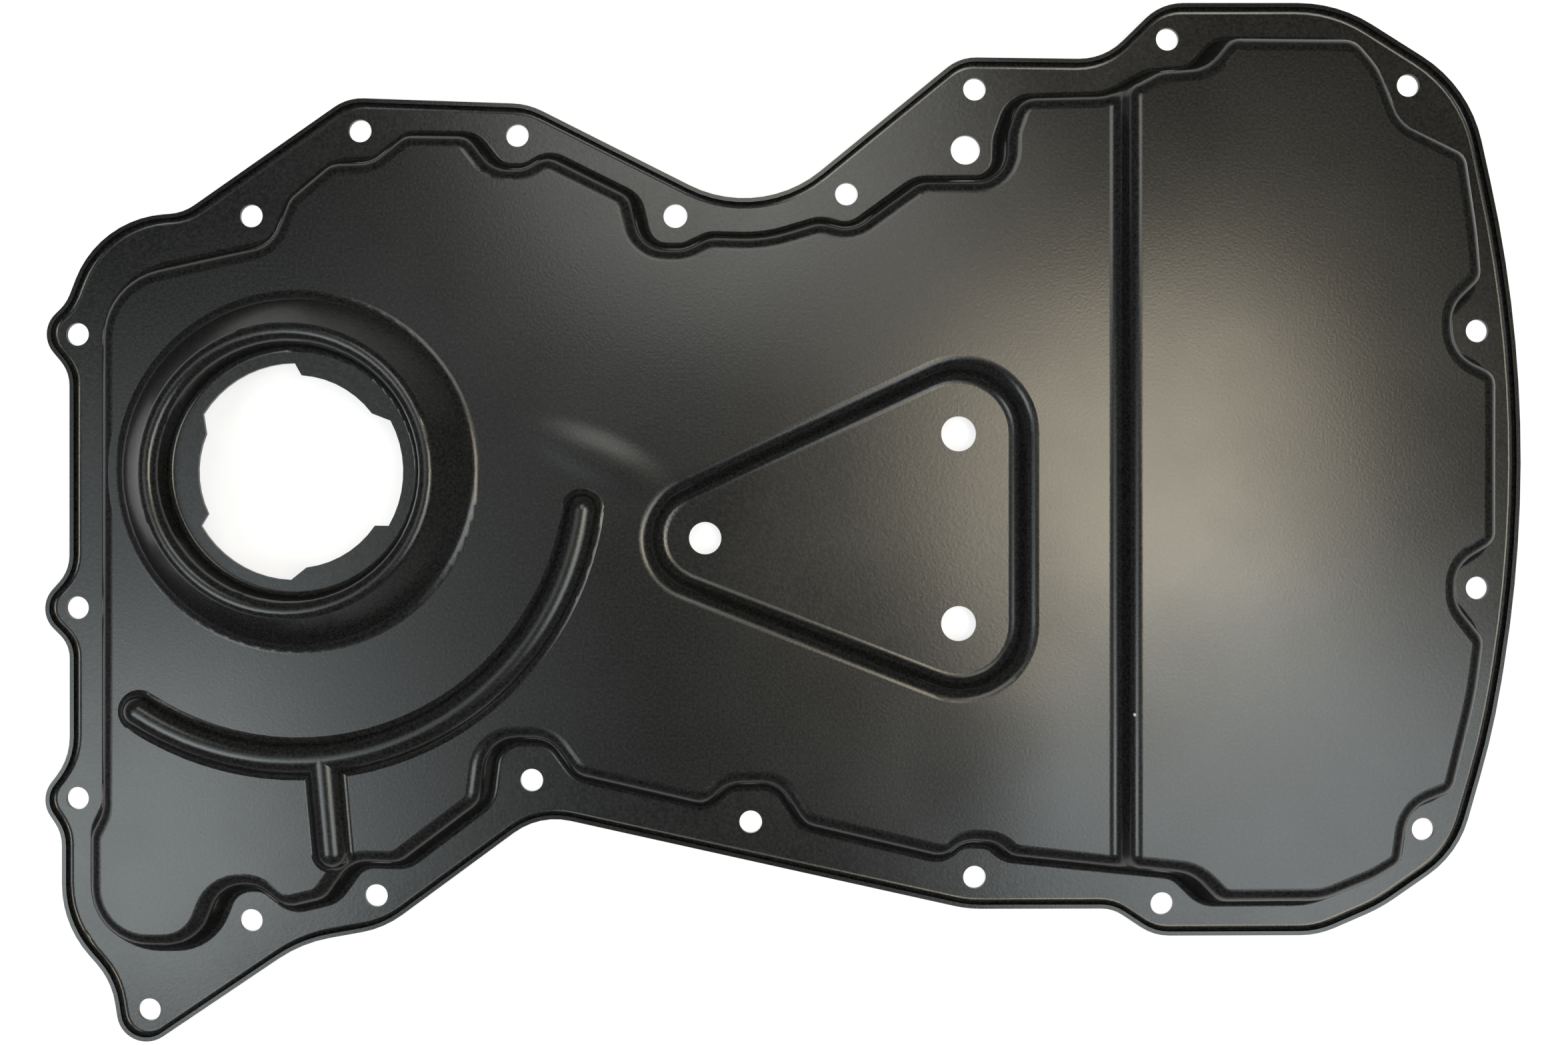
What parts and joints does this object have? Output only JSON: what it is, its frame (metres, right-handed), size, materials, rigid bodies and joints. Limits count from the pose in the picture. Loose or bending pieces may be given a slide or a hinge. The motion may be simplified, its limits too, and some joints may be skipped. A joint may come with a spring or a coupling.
{
  "type": "timing cover",
  "caption": "Pressed sheet-steel timing chain cover with a turned-up lip, stepped panel, crank ring and recessed pad.",
  "frame": {"origin": "the crank axis where it meets the sealing face, at z = 0", "axes": "+X from the crank end towards the cam end, +Y across the cover, +Z out of the engine"},
  "size_m": [0.5493, 0.3868, 0.028],
  "materials": {
    "coated_steel": "satin black coating on drawn sheet steel"
  },
  "bodies": {
    "root": {"timing_cover": "coated_steel"}
  },
  "joints": []
}
